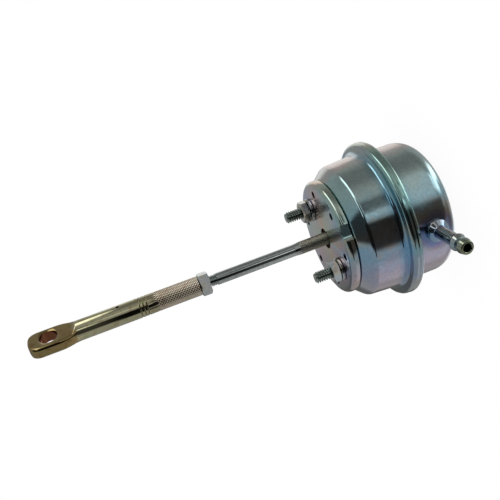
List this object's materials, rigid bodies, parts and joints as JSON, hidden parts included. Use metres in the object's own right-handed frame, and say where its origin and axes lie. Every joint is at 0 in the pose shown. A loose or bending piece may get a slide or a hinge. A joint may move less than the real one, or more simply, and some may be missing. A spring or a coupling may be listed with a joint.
{
  "type": "wastegate actuator",
  "caption": "Diaphragm wastegate actuator: pressed two-shell can with hose nipple, studs on a plate and an adjustable push rod ending in a drilled flat eye.",
  "frame": {"origin": "centre of the flat closed end of the rear can, on the rod's axis", "axes": "+Z along the push rod towards the eye; +X along the axis of the eye's hole; +Y completes the right-handed frame, with the hose nipple pointing close to -Y"},
  "size_m": [0.0862, 0.1074, 0.2241],
  "materials": {
    "bright_zinc": "zinc plated and blue passivated, glossy with faint colour bands",
    "dull_zinc": "satin zinc plate",
    "bright_steel": "bright drawn steel",
    "spring_steel": "oiled spring wire",
    "bronze": "sintered bronze, satin",
    "rubber": "matte",
    "yellow_zinc": "zinc plated with a yellow chromate, satin"
  },
  "bodies": {
    "housing": {"front_can": "bright_zinc", "rear_can": "bright_zinc", "mounting_plate": "bright_zinc", "stud_1": "dull_zinc", "stud_2": "dull_zinc", "stud_washer_1": "dull_zinc", "stud_washer_2": "dull_zinc", "stud_nut_1": "dull_zinc", "stud_nut_2": "dull_zinc", "rod_bush": "bronze", "spring_seat": "bright_steel", "spring": "spring_steel", "diaphragm": "rubber", "hose_nipple": "bright_zinc"},
    "rod": {"rod": "bright_steel", "piston": "bright_steel", "diaphragm_plate": "bright_steel", "piston_nut": "dull_zinc"},
    "jam_nut": {"jam_nut": "dull_zinc"},
    "rod_end": {"rod_end": "yellow_zinc"}
  },
  "joints": [
    {"name": "rod_slide", "type": "slide", "parent": "housing", "child": "rod", "axis": [0, 0, 1], "range_m": [0, 0.012], "stiffness_N_per_m": 8000, "springref_m": -0.02, "deforming": ["spring", "diaphragm"]},
    {"name": "adjuster_travel", "type": "slide", "parent": "rod", "child": "jam_nut", "axis": [0, 0, 1], "range_m": [-0.003, 0.006]},
    {"name": "rod_end_turn", "type": "hinge", "parent": "jam_nut", "child": "rod_end", "pos_m": [0, 0, 0.1335], "axis": [0, 0, 1], "range_deg": [-1200, 2400]}
  ],
  "couplings": [
    {"joint": "rod_end_turn", "follows": "adjuster_travel", "rad_per_m": 6927.4}
  ]
}
